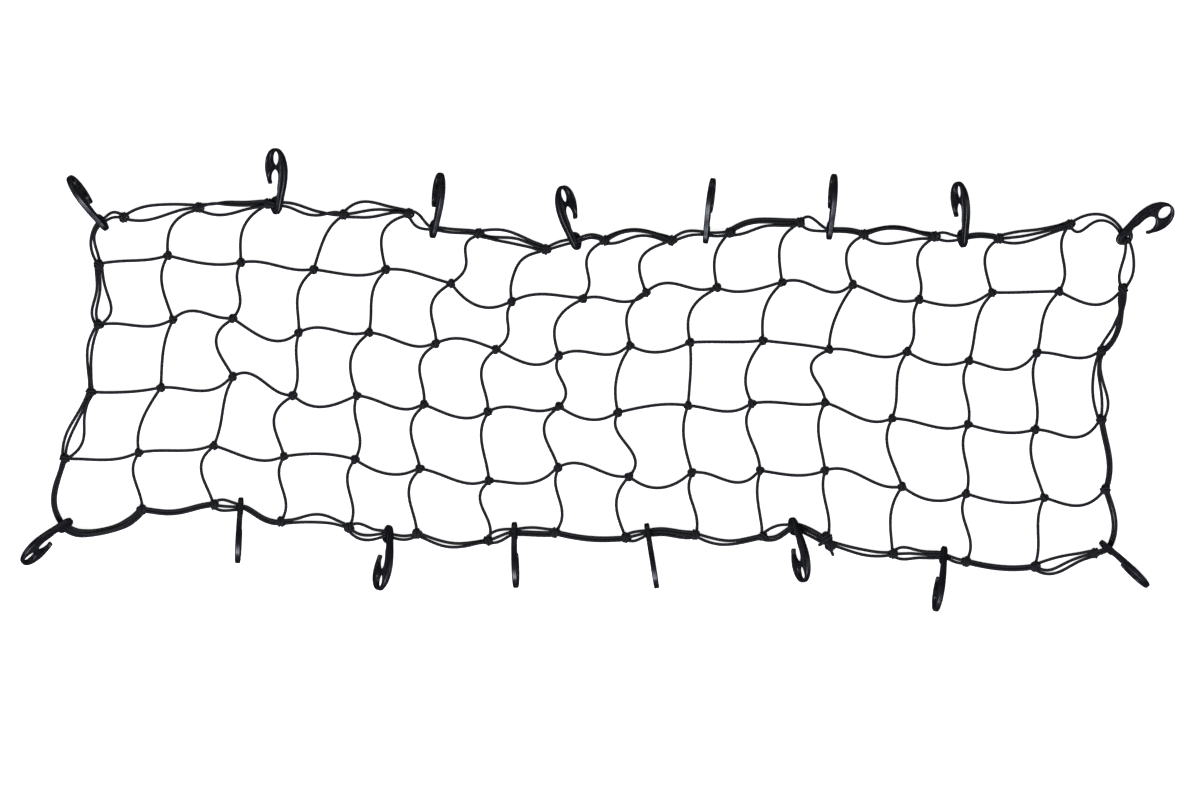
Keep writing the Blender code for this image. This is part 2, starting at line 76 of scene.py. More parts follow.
def finished(carrier, name):
    # the evaluated shape as a plain mesh, with the object that carried it removed
    bpy.context.view_layer.update()
    evaluated = carrier.evaluated_get(bpy.context.evaluated_depsgraph_get())
    mesh = bpy.data.meshes.new_from_object(evaluated)
    mesh.name = name
    bpy.data.objects.remove(carrier)
    return mesh


class nodeMaker:
    # short helper for wiring shader maths
    def __init__(self, tree):
        self.tree = tree

    def add(self, kind, **settings):
        node = self.tree.nodes.new(kind)
        for key, value in settings.items():
            setattr(node, key, value)
        return node

    def math(self, operation, first, second=None, third=None):
        node = self.add("ShaderNodeMath", operation=operation)
        for socket, value in zip(node.inputs, (first, second, third)):
            if value is None:
                continue
            if isinstance(value, (int, float)):
                socket.default_value = value
            else:
                self.tree.links.new(value, socket)
        return node.outputs[0]

    def link(self, source, target):
        self.tree.links.new(source, target)


def newMaterial(name):
    material = bpy.data.materials.new(name)
    material.use_nodes = True
    return material, nodeMaker(material.node_tree), material.node_tree.nodes["Principled BSDF"]


sheath = {
    "colour": (0.0022, 0.0023, 0.0027, 1),
    # the lighter colour painted on the raised crests of the braid, as painted light, with the valleys left
    # darker as painted shade
    "paintedCrestLightAndFleck": (0.0085, 0.0088, 0.0105, 1),
    "plaits": 8,  # strands of yarn round the cord in each direction
    "pitch": 0.0085,  # length in which a yarn goes once round
    "depth": 0.00022,
    "roughness": 0.62,
    "sheen": 0.12,
}


def makeSheath():
    # braided yarn over elastic: two sets of ribs wind opposite ways and pass over each other
    material, wire, shader = newMaterial("braidedSheath")
    place = wire.add("ShaderNodeAttribute", attribute_name="weave")
    split = wire.add("ShaderNodeSeparateXYZ")
    wire.link(place.outputs["Vector"], split.inputs[0])
    around = wire.math("MULTIPLY", split.outputs[0], float(sheath["plaits"]))
    along = wire.math("MULTIPLY", split.outputs[1], sheath["plaits"] / sheath["pitch"])
    right = wire.math("ADD", around, along)
    left = wire.math("SUBTRACT", around, along)
    ribs = []
    for lay in (right, left):
        wave = wire.math("SINE", wire.math("MULTIPLY", lay, math.pi))
        ribs.append(wire.math("POWER", wire.math("ABSOLUTE", wave), 0.6))
    cell = wire.math("MULTIPLY", wire.math("FLOOR", right), 0.5)
    other = wire.math("MULTIPLY", wire.math("FLOOR", left), 0.5)
    over = wire.math("GREATER_THAN", wire.math("FRACT", wire.math("ADD", cell, other)), 0.25)
    topRib = wire.math("MULTIPLY", ribs[0], over)
    under = wire.math("SUBTRACT", 1.0, over)
    height = wire.math("ADD", topRib, wire.math("MULTIPLY", ribs[1], under))
    fuzz = wire.add("ShaderNodeTexNoise")
    fuzz.inputs["Scale"].default_value = 900
    fuzz.inputs["Detail"].default_value = 3
    spot = wire.add("ShaderNodeTexCoord")
    wire.link(spot.outputs["Object"], fuzz.inputs["Vector"])
    height = wire.math("ADD", height, wire.math("MULTIPLY", fuzz.outputs["Fac"], 0.35))
    bump = wire.add("ShaderNodeBump")
    bump.inputs["Strength"].default_value = 0.75
    bump.inputs["Distance"].default_value = sheath["depth"]
    wire.link(height, bump.inputs["Height"])
    wire.link(bump.outputs[0], shader.inputs["Normal"])
    drift = wire.add("ShaderNodeTexNoise")
    drift.inputs["Scale"].default_value = 26
    wire.link(spot.outputs["Object"], drift.inputs["Vector"])
    crestShadeMix = wire.add("ShaderNodeMix", data_type="RGBA")
    crestShadeMix.inputs["A"].default_value = sheath["colour"]
    crestShadeMix.inputs["B"].default_value = sheath["paintedCrestLightAndFleck"]
    # painted shade: the colour is darker in the valleys between the yarns and lighter on their raised crests,
    # varied at random by the drift noise
    paintedCrestLight = wire.math("MULTIPLY", height, 0.55)
    wire.link(wire.math("MULTIPLY", paintedCrestLight, drift.outputs["Fac"]), crestShadeMix.inputs["Factor"])
    wire.link(crestShadeMix.outputs["Result"], shader.inputs["Base Color"])
    rough = wire.math("ADD", sheath["roughness"], wire.math("MULTIPLY", drift.outputs["Fac"], 0.2))
    wire.link(rough, shader.inputs["Roughness"])
    shader.inputs["Sheen Weight"].default_value = sheath["sheen"]
    shader.inputs["Sheen Roughness"].default_value = 0.4
    shader.inputs["Sheen Tint"].default_value = (0.35, 0.36, 0.42, 1)
    return material


nylon = {
    "colour": (0.0042, 0.0044, 0.0070, 1),
    "worn": (0.0120, 0.0125, 0.0180, 1),
    "roughness": 0.34,
    "seamHalfWidth": 0.14,
    "seamDepth": 0.00012,
}


def makeNylon():
    # moulded nylon: faint orange peel, a parting line round the edge and rubbed patches
    material, wire, shader = newMaterial("mouldedNylon")
    place = wire.add("ShaderNodeAttribute", attribute_name="mould")
    split = wire.add("ShaderNodeSeparateXYZ")
    wire.link(place.outputs["Vector"], split.inputs[0])
    peel = wire.add("ShaderNodeTexNoise")
    peel.inputs["Scale"].default_value = 1.3
    peel.inputs["Detail"].default_value = 2
    wire.link(place.outputs["Vector"], peel.inputs["Vector"])
    rubbed = wire.add("ShaderNodeTexNoise")
    rubbed.inputs["Scale"].default_value = 0.16
    rubbed.inputs["Detail"].default_value = 5
    rubbed.inputs["Roughness"].default_value = 0.65
    wire.link(place.outputs["Vector"], rubbed.inputs["Vector"])
    fromSeam = wire.math("DIVIDE", wire.math("ABSOLUTE", split.outputs[2]), nylon["seamHalfWidth"])
    seam = wire.math("SUBTRACT", 1.0, wire.math("MINIMUM", fromSeam, 1.0))
    height = wire.math("ADD", wire.math("MULTIPLY", peel.outputs["Fac"], 0.12), seam)
    bump = wire.add("ShaderNodeBump")
    bump.inputs["Strength"].default_value = 0.6
    bump.inputs["Distance"].default_value = nylon["seamDepth"]
    wire.link(height, bump.inputs["Height"])
    wire.link(bump.outputs[0], shader.inputs["Normal"])
    patches = wire.add("ShaderNodeMapRange")
    patches.inputs["From Min"].default_value = 0.52
    patches.inputs["From Max"].default_value = 0.78
    wire.link(rubbed.outputs["Fac"], patches.inputs["Value"])
    tone = wire.add("ShaderNodeMix", data_type="RGBA")
    tone.inputs["A"].default_value = nylon["colour"]
    tone.inputs["B"].default_value = nylon["worn"]
    wire.link(wire.math("MULTIPLY", patches.outputs["Result"], 0.5), tone.inputs["Factor"])
    wire.link(tone.outputs["Result"], shader.inputs["Base Color"])
    dull = wire.math("MULTIPLY", patches.outputs["Result"], 0.16)
    wire.link(wire.math("ADD", nylon["roughness"], dull), shader.inputs["Roughness"])
    shader.inputs["Specular IOR Level"].default_value = 0.55
    return material


sheathMaterial = makeSheath()
nylonMaterial = makeNylon()
print("materials made")

hookForm = {
    # along the hook and across it from the back to the claw, in millimetres
    "outline": (
        (0.2, 12.6),
        (4.0, 7.4),
        (12.0, 4.9),
        (22.0, 2.7),
        (32.0, 0.2),
        (42.0, -1.2),
        (52.0, -1.1),
        (61.5, 1.4),
        (69.5, 6.6),
        (73.9, 14.5),
        (72.0, 22.0),
        (66.0, 27.3),
        (57.0, 29.9),
        (48.0, 29.4),
        (40.0, 26.7),
        (33.4, 22.7),
        (39.5, 23.9),
        (45.0, 22.8),
        (49.2, 19.3),
        (50.8, 14.6),
        (48.2, 10.2),
        (43.0, 8.8),
        (32.0, 9.7),
        (21.5, 11.0),
        (19.8, 15.2),
        (16.6, 19.0),
        (11.4, 20.6),
        (4.8, 18.8),
    ),
    "rootPoint": (0.2, 12.6),
    "farPoint": (73.9, 14.5),
    "headHole": {"along": 63.0, "across": 15.5, "halfLong": 8.4, "halfWide": 6.3, "turn": -6},
    "eye": {"along": 11.2, "across": 14.6, "halfLong": 4.4, "halfWide": 2.3, "turn": 0},
    "thickness": 5.7,
    "edgeRound": 1.0,  # width of the rounding along every edge
    "rimShare": 0.62,  # thickness left at the rim
    "endThinning": 0.06,
    "lengthKept": 0.985,
    "softenings": 7,
    "swell": 0.00026,  # what the softening takes off, put back
    "clawPoint": (33.4, 22.7),
    "clawSide": 20.5,  # across, beyond which the hook is claw
    "clawTaper": (8.0, 0.84),  # how far back from its point the claw thins, and to what share
    # flutes in both faces: along, across, half width
    "shankFlute": (
        (3.5, 11.4, 0.4),
        (9, 8.4, 1.1),
        (18, 7.0, 1.9),
        (30, 5.2, 2.5),
        (42, 3.9, 2.7),
        (52, 3.7, 2.5),
        (60, 4.9, 1.7),
        (67, 8.6, 0.8),
        (70, 11.5, 0.3),
    ),
    "clawFlute": ((68, 22.0, 0.4), (63, 25.3, 1.3), (56, 26.6, 2.0), (48, 26.2, 1.7), (42, 25.1, 0.6)),
    "fluteFlatness": 0.5,
    "grain": 0.00037,  # voxel of the remesh
    "keep": 0.36,
}


def closedLoop(curve, points, smooth):
    spline = curve.splines.new("BEZIER" if smooth else "POLY")
    if smooth:
        spline.bezier_points.add(len(points) - 1)
        for knot, (along, across) in zip(spline.bezier_points, points):
            knot.co = (along * mm, across * mm, 0)
            knot.handle_left_type = "AUTO"
            knot.handle_right_type = "AUTO"
    else:
        spline.points.add(len(points) - 1)
        for point, (along, across) in zip(spline.points, points):
            point.co = (along * mm, across * mm, 0, 1)
    spline.use_cyclic_u = True


def ovalLoop(hole, count=40):
    turn = math.radians(hole["turn"])
    points = []
    for index in range(count):
        angle = math.tau * (index + 0.5) / count
        far = hole["halfLong"] * math.cos(angle)
        wide = hole["halfWide"] * math.sin(angle)
        points.append(
            (
                hole["along"] + far * math.cos(turn) - wide * math.sin(turn),
                hole["across"] + far * math.sin(turn) + wide * math.cos(turn),
            )
        )
    return points


def fluteCutter(path, side):
    # a long flattened bar that carves one hollow flute
    curve = bpy.data.curves.new("flute", "CURVE")
    curve.dimensions = "3D"
    curve.bevel_depth = mm
    curve.bevel_resolution = 4
    curve.use_fill_caps = True
    curve.resolution_u = 8
    spline = curve.splines.new("BEZIER")
    spline.bezier_points.add(len(path) - 1)
    for knot, (along, across, half) in zip(spline.bezier_points, path):
        knot.co = (along * mm, across * mm, 0)
        knot.radius = half
        knot.handle_left_type = "AUTO"
        knot.handle_right_type = "AUTO"
    mesh = finished(addPiece("flute", curve), "flute")
    lift = side * hookForm["thickness"] / 2 * mm
    for vertex in mesh.vertices:
        vertex.co.z = vertex.co.z * hookForm["fluteFlatness"] + lift
    return mesh


def makeHookMesh():
    curve = bpy.data.curves.new("slab", "CURVE")
    curve.dimensions = "2D"
    curve.fill_mode = "BOTH"
    curve.resolution_u = 10
    curve.extrude = hookForm["thickness"] / 2 * mm
    closedLoop(curve, hookForm["outline"], True)
    closedLoop(curve, ovalLoop(hookForm["headHole"]), False)
    closedLoop(curve, ovalLoop(hookForm["eye"]), False)
    slab = addPiece("slab", finished(addPiece("slab", curve), "slab"))
    rim = KDTree(len(slab.data.vertices))
    for vertex in slab.data.vertices:
        rim.insert((vertex.co.x, vertex.co.y, 0), vertex.index)
    rim.balance()
    shape = bmesh.new()
    for path in (hookForm["shankFlute"], hookForm["clawFlute"]):
        for side in (-1, 1):
            cutter = fluteCutter(path, side)
            shape.from_mesh(cutter)
            bpy.data.meshes.remove(cutter)
    bmesh.ops.remove_doubles(shape, verts=shape.verts, dist=0.000001)
    bmesh.ops.recalc_face_normals(shape, faces=shape.faces)
    flutes = bpy.data.meshes.new("flutes")
    shape.to_mesh(flutes)
    shape.free()
    carver = addPiece("flutes", flutes)
    shape = bmesh.new()
    shape.from_mesh(slab.data)
    bmesh.ops.remove_doubles(shape, verts=shape.verts, dist=0.000001)
    bmesh.ops.recalc_face_normals(shape, faces=shape.faces)
    shape.to_mesh(slab.data)
    shape.free()
    cut = slab.modifiers.new("flutes", "BOOLEAN")
    cut.operation = "DIFFERENCE"
    cut.solver = "EXACT"
    cut.use_self = True
    cut.object = carver
    fine = slab.modifiers.new("grain", "REMESH")
    fine.mode = "VOXEL"
    fine.voxel_size = hookForm["grain"]
    body = finished(slab, "hookBody")
    bpy.data.objects.remove(carver)
    middle = hookForm["farPoint"][0] / 2 * mm
    point = Vector((*hookForm["clawPoint"], 0)) * mm
    taperRun, taperTo = hookForm["clawTaper"]
    rimShare = hookForm["rimShare"]
    for vertex in body.vertices:
        away = abs(vertex.co.x - middle) / middle
        vertex.co.z *= 1 - hookForm["endThinning"] * away**3
        inward = rim.find((vertex.co.x, vertex.co.y, 0))[2] / (hookForm["edgeRound"] * mm)
        vertex.co.z *= rimShare + (1 - rimShare) * math.sqrt(1 - (1 - min(inward, 1.0)) ** 2)
        if vertex.co.y > hookForm["clawSide"] * mm:
            fromPoint = min((vertex.co.xy - point.xy).length / (taperRun * mm), 1.0)
            vertex.co.z *= taperTo + (1 - taperTo) * math.sin(fromPoint * math.pi / 2)
        vertex.co.x = middle + (vertex.co.x - middle) * hookForm["lengthKept"]
    blank = addPiece("hookBody", body)
    soften = blank.modifiers.new("fillets", "SMOOTH")
    soften.factor = 0.5
    soften.iterations = hookForm["softenings"]
    swell = blank.modifiers.new("swell", "DISPLACE")
    swell.mid_level = 0
    swell.strength = hookForm["swell"]
    thin = blank.modifiers.new("thin", "DECIMATE")
    thin.ratio = hookForm["keep"]
    mesh = finished(blank, "hook")
    mesh.polygons.foreach_set("use_smooth", [True] * len(mesh.polygons))
    places = np.empty(len(mesh.vertices) * 3, dtype=np.float32)
    mesh.vertices.foreach_get("co", places)
    mould = mesh.attributes.new("mould", "FLOAT_VECTOR", "POINT")
    mould.data.foreach_set("vector", places / np.float32(mm))
    return mesh


hookLays = (
    # name, root x, root y, far end x, far end y, roll from lying flat, side of the claw
    ("hook_01", 105.6, 226.5, 71.5, 179.9, 73, -1),
    ("hook_02", 276.5, 213.1, 277.4, 149.2, 43, 1),
    ("hook_03", 432.5, 236.8, 441.8, 174.1, 70, 1),
    ("hook_04", 577.2, 246.6, 561.4, 189.0, 49, -1),
    ("hook_05", 705.3, 243.0, 712.5, 178.7, 83, -1),
    ("hook_06", 828.7, 239.0, 834.1, 174.7, 82, 1),
    ("hook_07", 962.8, 245.5, 958.5, 183.4, 60, 1),
    ("hook_08", 1115.9, 242.4, 1171.8, 205.4, 20, -1),
    ("hook_09", 73.2, 518.2, 22.0, 561.8, 61, 1),
    ("hook_10", 241.3, 497.4, 238.4, 561.2, 90, 1),
    ("hook_11", 389.3, 524.8, 380.6, 588.8, 57, -1),
    ("hook_12", 514.4, 520.5, 515.9, 587.3, 85, 1),
    ("hook_13", 646.4, 522.9, 656.6, 586.5, 90, 1),
    ("hook_14", 791.6, 517.6, 804.8, 580.0, 58, -1),
    ("hook_15", 944.1, 546.6, 935.6, 608.9, 79, -1),
    ("hook_16", 1097.4, 538.6, 1149.2, 587.0, 82, -1),
)
hookRest = {"rootPart": 0.025, "cordRadius": 0.0015, "reach": 0.0065, "pitches": (-0.3, 0.6)}
eyeCentre = Vector((hookForm["eye"]["along"], hookForm["eye"]["across"], 0)) * mm


def hookAxes(roll, side, pitch):
    along = Vector((1, 0, 0))
    sideways = Vector((0, side, 0))
    across = sideways * math.cos(roll) - Vector((0, 0, 1)) * math.sin(roll)
    lift = Matrix.Rotation(pitch, 3, Vector((0, -1, 0)))
    along = lift @ along
    across = lift @ across
    return Matrix((along, across, along.cross(across))).transposed()


def hookPose(lay, points):
    # the claw rests on the floor, and so does the root unless its cords hold it up
    _, rootX, rootY, farX, farY, rollDegrees, side = lay
    roll = math.radians(rollDegrees)
    rootPart = points[:, 0] < hookRest["rootPart"]
    low, high = hookRest["pitches"]
    for _ in range(30):
        pitch = (low + high) / 2
        axes = hookAxes(roll, side, pitch)
        heights = points @ np.array(axes)[2]
        floor = heights[~rootPart].min()
        rootGap = heights[rootPart].min() - floor
        eyeOverRoot = (axes @ eyeCentre).z - floor - rootGap
        cordRoom = hookRest["cordRadius"] + hookRest["reach"] * abs(axes.col[2].z)
        if rootGap > max(0.0, cordRoom - eyeOverRoot):
            low = pitch
        else:
            high = pitch
    root = Vector((*hookForm["rootPoint"], 0)) * mm
    farEnd = Vector((*hookForm["farPoint"], 0)) * mm
    length = axes @ (farEnd - root)
    wanted = math.atan2(rootY - farY, farX - rootX)
    turned = Matrix.Rotation(wanted - math.atan2(length.y, length.x), 3, "Z") @ axes
    place = onSheet((rootX + farX) / 2, (rootY + farY) / 2) - turned @ ((root + farEnd) / 2)
    place.z = -floor
    return Matrix.Translation(place) @ turned.to_4x4()


hookPoses = {}
hookTrees = []


def makeHooks():
    shape = makeHookMesh()
    points = np.array([v.co for v in shape.vertices])
    for lay in hookLays:
        pose = hookPose(lay, points)
        mesh = shape.copy()
        mesh.transform(pose)
        mesh.materials.append(nylonMaterial)
        hook = addPiece(lay[0].replace("_", "Shape"), mesh)
        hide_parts(lay[0])
        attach(hook, "root")
        hookPoses[lay[0]] = pose
        corners = [v.co.copy() for v in mesh.vertices]
        faces = [tuple(p.vertices) for p in mesh.polygons]
        hookTrees.append((pose @ eyeCentre, BVHTree.FromPolygons(corners, faces)))
    print("hooks made,", len(shape.polygons), "faces each")
    bpy.data.meshes.remove(shape)


makeHooks()

# where the knots lie, and how far each strand strays at even steps of its way

topEdge = (
    # x, y, strays of the strand below
    (124, 217, None),
    (199, 207, (-14.8, -14.6, -8.4)),
    (268, 203, (-13.8, -9.8)),
    (344, 214, (-7.2, -6.4, -3.6)),
    (409, 213, (-18.5, -16.8, -9.2)),
    (479, 233, (-8.0, 1.6, 7.4)),
    (546, 249, (-18.7, -17.4, -14.0, -8.8)),
    (605, 240, (-12.2, -0.8)),
    (672, 240, (-22.0, -20.6, -11.3)),
    (730, 232, (-9.6, -7.4)),
    (800, 222, (-13.2, -12.2, -6.6)),
    (864, 234, (-13.2, -13.0, -7.8)),
    (935, 236, (-13.0, -9.5, -1.5)),
    (999, 238, (-12.0, -11.0, -6.1)),
    (1070, 224, (-6.6, -1.8, 3.6)),
)
bottomEdge = (
    (142, 509),
    (214, 504),
    (281, 521),
    (349, 527),
    (417, 533),
    (488, 540),
    (555, 532),
    (626, 537),
    (695, 534),
    (763, 536),
    (826, 541),
    (893, 553),
    (966, 561),
    (1035, 566),
)
rows = (
    # x, y, strays of the strand to the right, strays of the strand below
    (
        (99, 264, (-0.5, 1.7), None),
        (168, 255, (3.7, 4.6), (-8.7, -6.0)),
        (241, 262, (-2.1, 1.7), (-1.6, 5.3)),
        (314, 269, (3.9, 6.1), (-10.7, -6.4)),
        (386, 269, (-3.6, -1.9), (-7.7, -3.6)),
        (451, 283, (13.9, 12.7), (-15.0, -8.0)),
        (512, 301, (-6.4, -4.0), (0.0, 7.9)),
        (583, 298, (1.4, 8.1), (-16.9, -13.1)),
        (646, 292, (-8.3, -0.3), (-13.1, -8.6)),
        (717, 287, (6.3, 4.4), (-14.9, -11.6)),
        (782, 282, (-0.7, 8.7), (-8.6, -7.1)),
        (853, 284, (3.7, 6.6), (-4.6, -5.3)),
        (919, 299, (8.1, 9.4), (-2.0, 3.4)),
        (992, 292, (0.4, 0.0), (-6.1, -2.6)),
        (1059, 291, (11.4, 15.4), (-7.1, -3.6)),
        (1123, 288, None, None),
    ),
    (
        (99, 324, (1.3, 5.6), None),
        (173, 319, (-9.0, -3.0), (-4.3, -3.1)),
        (233, 318, (10.4, 14.0), (-17.7, -12.0)),
        (299, 332, (-5.1, 0.6), (-1.0, 3.0)),
        (369, 332, (2.1, 6.6), (-13.1, -10.3)),
        (436, 343, (-7.6, -5.6), (-12.9, -5.9)),
        (496, 349, (8.6, 11.9), (-12.7, -6.1)),
        (559, 355, (-1.0, 6.3), (-2.0, 7.6)),
        (630, 345, (8.0, 7.0), (-7.0, -7.0)),
        (690, 342, (0.0, 0.9), (1.5, 1.0)),
        (763, 340, (-0.5, -1.0), (-10.0, -10.7)),
        (829, 349, (1.1, 6.4), (-18.3, -7.6)),
        (907, 351, (7.7, 7.7), (-4.7, -0.4)),
        (969, 360, (9.7, 14.4), (-5.7, -0.3)),
        (1037, 352, (2.9, 7.4), (-3.6, 1.3)),
        (1102, 350, None, None),
    ),
    (
        (91, 392, (1.6, 2.1), None),
        (161, 387, (5.4, 10.7), (-6.4, -7.7)),
        (233, 376, (-8.7, 0.0), (-2.1, 0.7)),
        (293, 395, (11.6, 9.0), (-16.4, -10.1)),
        (357, 395, (3.1, 8.0), (-1.3, 4.7)),
        (424, 404, (6.7, 9.6), (-12.3, -7.3)),
        (488, 411, (-3.1, 3.0), (-7.6, -3.9)),
        (559, 406, (8.9, 9.6), (-15.6, -9.1)),
        (618, 412, (-2.9, -3.6), (-3.6, 9.0)),
        (688, 405, (4.3, 7.7), (-6.3, -5.0)),
        (752, 403, (-0.9, 1.9), (-8.6, -2.7)),
        (825, 402, (4.3, 8.4), (-7.1, -4.3)),
        (892, 418, (1.9, 6.0), (-9.1, -5.7)),
        (968, 424, (4.3, 5.3), (-4.7, 1.0)),
        (1035, 429, (7.8, 15.0), (-7.7, -5.0)),
        (1101, 419, None, None),
    ),
    (
        (65, 458, (3.0, 5.0), None),
        (139, 452, (0.3, 2.7), (-7.6, -2.4)),
        (214, 445, (5.0, 8.0), (-13.7, -8.4)),
        (284, 456, (-3.7, -4.0), (-4.0, 4.0)),
        (355, 459, (8.7, 9.4), (-6.1, 2.0)),
        (420, 468, (3.0, 7.0), (-10.8, -5.4)),
        (489, 480, (6.9, 10.6), (-9.4, 0.2)),
        (558, 467, (-7.1, -0.4), (-1.0, 6.6)),
        (629, 476, (12.6, 12.0), (-11.6, -9.1)),
        (692, 472, (4.1, 12.1), (-4.1, 2.1)),
        (760, 470, (3.6, 5.1), (-4.2, -2.2)),
        (825, 470, (-4.9, 2.4), (-1.9, 3.2)),
        (902, 486, (9.9, 9.7), (-7.7, -5.6)),
        (966, 493, (6.1, 6.7), (-3.4, 4.2)),
        (1044, 497, (9.5, 13.2), (-3.3, 0.4)),
        (1105, 489, None, None),
    ),
)
# every cord of the edges, from each stop to the next
edges = {
    "top": (
        ("hook_01", ((-7.7, -7.2, -4.7), (-2.7, -2.9, -1.5))),
        ("T1", ((-8.2, -7.9, -5.7), (6.0, 1.2))),
        ("T2", ((-3.0, -2.8, -1.8), (-3.3, -1.0, 0.8), (9.0, 7.8, 3.0))),
        ("T3", ((-1.0, -1.0), (1.5, 1.0))),
        ("hook_02", ((-2.9, 0.7, 1.9), (3.3, 6.5, 1.6))),
        ("T4", ((-13.0, -11.0, -5.8), (-2.3, -4.7, -3.2), (3.4, 2.5, -1.9))),
        ("T5", ((-7.4, -8.0, -5.6), (8.5, 7.5, 5.0))),
        ("hook_03", ((-1.0, -1.5), (2.5, 0.5))),
        ("T6", ((-8.4, -9.2, -4.6), (0.6, -4.0, -3.0), (2.2, 2.0, 1.4))),
        ("T7", ((-3.3, -3.6), (0.6, 1.4))),
        ("hook_04", ((-6.0, -4.8), (-3.2, -3.0))),
        ("T8", ((-9.4, -10.9, -7.1), (-8.6, -10.2, -6.6), (1.2, -5.2, -3.2))),
        ("T9", ((-6.0, -5.3), (-0.4, -1.0))),
        ("hook_05", ((-1.0, 0.0), (2.5, 2.5))),
        ("T10", ((-9.6, -8.4, -4.0), (-6.4, -5.8, -2.2), (2.5, -2.0, -0.8))),
        ("T11", ((-10.0, -8.8, -5.6), (5.4, 5.3, 2.6))),
        ("hook_06", ((-3.0, -3.0), (-0.5, -1.0))),
        ("T12", ((-7.2, -8.4, -4.4), (-6.4, -7.4, -3.8), (9.3, 6.8, 3.0))),
        ("T13", ((-5.8, -5.4, -3.2), (3.3, 4.0, 3.0))),
        ("hook_07", ((-4.0, -2.8), (-1.2, -1.8))),
        ("T14", ((-3.4, -1.4, -0.2), (2.2, 2.4, 0.6), (8.8, 7.8, 4.8))),
        ("T15", ((-10.2, -15.6, -17.8, -15.2), (5.8, -6.8, -12.6, -10.8))),
        ("hook_08", ()),
    ),
    "right": (
        ("hook_08", ((-0.4, -2.7, -5.6), (7.0, 9.4, 8.8))),
        ("R1", ((2.9, 5.9, 0.8), (3.5, 6.5, 8.6), (4.4, 7.3, 9.6))),
        ("R2", ((-7.5, -9.2, -7.9), (-3.4, -1.2, 0.8), (-2.9, 2.0, 7.4))),
        ("R3", ((2.4, 4.8), (5.2, 7.6))),
        ("R4", ((3.4, 4.4), (6.4, 7.4))),
        ("hook_16", ()),
    ),
    "bottom": (
        ("hook_09", ((7.6, 9.8, 9.0), (8.8, 11.4, 10.6), (10.0, 12.4, 12.0))),
        ("B1", ((2.8, 3.8, 0.6), (5.0, 6.4, 2.6))),
        ("B2", ((-6.9, -5.4), (1.0, 0.3), (6.0, 3.6))),
        ("hook_10", ((1.4, 3.2, 3.2), (4.4, 6.6, 6.0))),
        ("B3", ((-4.2, -10.8, -8.4), (-1.0, -2.4, -2.8))),
        ("B4", ((-6.6, -5.0, -1.4), (5.6, 5.2, 3.2), (9.6, 10.2, 7.8))),
        ("hook_11", ((1.2, 2.6), (5.0, 5.8))),
        ("B5", ((3.8, 6.4, 4.6), (8.2, 10.6, 5.8))),
        ("B6", ((-6.8, -6.4, -4.6), (0.4, 0.6, 0.4), (4.8, 6.4, 5.6))),
        ("hook_12", ((-4.8, -3.4), (0.3, 0.4), (3.0, 3.2))),
        ("B7", ((2.4, 2.8), (4.2, 4.4))),
        ("B8", ((-3.8, -2.6), (0.7, -0.4), (6.2, 5.2))),
        ("hook_13", ((-3.2, -1.4), (-1.4, 0.6), (1.6, 3.9))),
        ("B9", ((3.2, 5.6, 3.0), (8.5, 9.2, 5.4))),
        ("B10", ((-5.0, -6.3, -5.5), (4.4, 5.6, 4.2), (6.4, 8.0, 6.4))),
        ("hook_14", ((-4.4, -4.2), (-1.0, -1.0), (2.8, 2.6))),
        ("B11", ((0.9, 1.6), (5.1, 6.7))),
        ("B12", ((-7.6, -4.2, -2.0), (-0.2, -1.0, 0.4), (6.2, 3.6, 3.0))),
        ("hook_15", ((0.8, 0.8), (4.0, 4.0))),
        ("B13", ((2.3, 2.4), (4.1, 4.8))),
        ("B14", ((-4.0, -4.3, -3.0), (7.8, 3.3, 0.6), (11.7, 9.6, 3.8))),
        ("extra", ((-1.0, -1.0), (1.5, 1.0))),
        ("hook_16", ()),
    ),
    "left": (
        ("hook_01", ((-6.9, -7.2), (-5.0, -1.2))),
        ("L1", ((-1.6, -2.4, -7.6), (1.0, 1.0, -3.0), (4.4, 8.6, 13.6))),
        ("L2", ((-9.0, -5.0), (-4.0, -3.0))),
        ("L3", ((-5.0, -8.6), (-1.0, -3.5), (0.4, 6.2, 12.2))),
        ("L4", ((-6.8, -10.3), (-5.3, -8.2))),
        ("hook_09", ()),
    ),
}
extraKnot = (1095, 552.5)
closingKnot = "B11"

cordForm = {
    "radius": 0.00175,
    "sides": 10,
    "step": 0.0022,  # between rings
    "lay": 0.0062,  # between the points that steer a strand
    "knotHeight": 0.0023,
    "knotLeg": 0.013,
    "eyeLeg": 0.026,
    "eyeSpan": 0.0068,  # from the middle of an eye to where its cords come free
    "sideBySide": 0.0030,
    "heldInEye": 0.0045,
    "heldInKnot": 0.0042,
    "nearHook": 0.03,
    "nudge": 0.0004,  # the most that a hook moves a cord in one round
    # cords closer than this share of their width, seen from above, lie one over the other
    "stackedWithin": 0.6,
    "stackLean": 0.25,
    "give": 0.3,
    "fairing": 0.3,
    "fanOut": 0.011,  # in which cords side by side take up their own ways
    "rounds": 36,
}


def knotPlaces():
    places = {f"T{number}": (x, y) for number, (x, y, _) in enumerate(topEdge, 1)}
    for rowNumber, row in enumerate(rows, 1):
        for number, (x, y, _, _) in enumerate(row):
            name = f"N{rowNumber}.{number}"
            if number == 0:
                name = f"L{rowNumber}"
            if number == len(row) - 1:
                name = f"R{rowNumber}"
            places[name] = (x, y)
    places.update({f"B{number}": spot for number, spot in enumerate(bottomEdge, 1)})
    places["extra"] = extraKnot
    return places


knots = knotPlaces()


def knotName(rowNumber, number):
    if rowNumber == 0:
        return f"T{number + 1}"
    if rowNumber > len(rows):
        return f"B{number}"
    if number == 0:
        return f"L{rowNumber}"
    if number == len(rows[0]) - 1:
        return f"R{rowNumber}"
    return f"N{rowNumber}.{number}"


